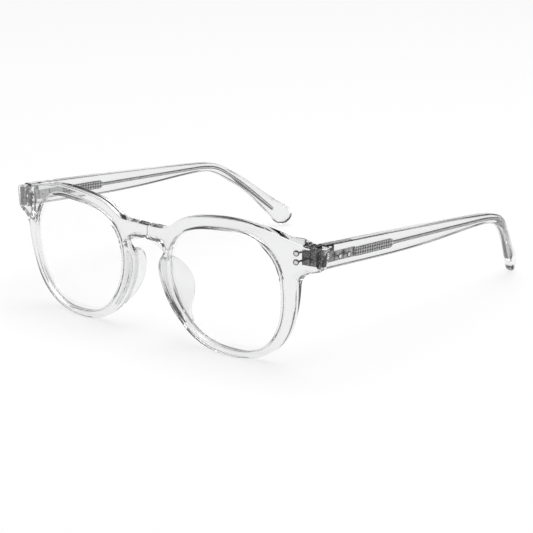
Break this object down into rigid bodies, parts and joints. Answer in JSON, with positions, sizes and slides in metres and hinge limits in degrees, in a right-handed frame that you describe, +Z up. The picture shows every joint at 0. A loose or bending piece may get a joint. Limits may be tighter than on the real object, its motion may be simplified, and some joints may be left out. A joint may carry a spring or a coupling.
{
  "type": "eyeglasses",
  "caption": "Clear acetate eyeglasses: rounded full-rim front with a keyhole bridge, clear lenses and pads, riveted metal hinges, wire-cored folding temples with curved tips.",
  "frame": {"origin": "centre of the footprint, on the surface that the glasses stand on, temples open", "axes": "+X to the wearer's left, +Y from the front back along the temples, +Z up"},
  "size_m": [0.143, 0.1478, 0.0481],
  "materials": {
    "clear_acetate": "polished, colourless and see-through",
    "clear_lens": "clear optical plastic",
    "hinge_steel": "satin nickel-silver",
    "screw_steel": "turned steel",
    "polished_rivet": "polished",
    "core_metal": "drawn nickel-silver with a pressed pattern on the flat end"
  },
  "bodies": {
    "front": {"front_frame": "clear_acetate", "left_lens": "clear_lens", "left_nose_pad": "clear_acetate", "left_front_hinge": "hinge_steel", "left_hinge_screw": "screw_steel", "left_front_rivet_upper": "polished_rivet", "left_front_rivet_lower": "polished_rivet", "right_lens": "clear_lens", "right_nose_pad": "clear_acetate", "right_front_hinge": "hinge_steel", "right_hinge_screw": "screw_steel", "right_front_rivet_upper": "polished_rivet", "right_front_rivet_lower": "polished_rivet"},
    "left_temple": {"left_temple": "clear_acetate", "left_temple_hinge": "hinge_steel", "left_temple_rivet_front": "polished_rivet", "left_temple_rivet_rear": "polished_rivet", "left_core_wire": "core_metal"},
    "right_temple": {"right_temple": "clear_acetate", "right_temple_hinge": "hinge_steel", "right_temple_rivet_front": "polished_rivet", "right_temple_rivet_rear": "polished_rivet", "right_core_wire": "core_metal"}
  },
  "joints": [
    {"name": "left_temple_fold", "type": "hinge", "parent": "front", "child": "left_temple", "pos_m": [0.0649, -0.06094, 0.03778], "axis": [0, 0, 1], "range_deg": [0, 88]},
    {"name": "right_temple_fold", "type": "hinge", "parent": "front", "child": "right_temple", "pos_m": [-0.0649, -0.06094, 0.03778], "axis": [0, 0, -1], "range_deg": [0, 76]}
  ]
}
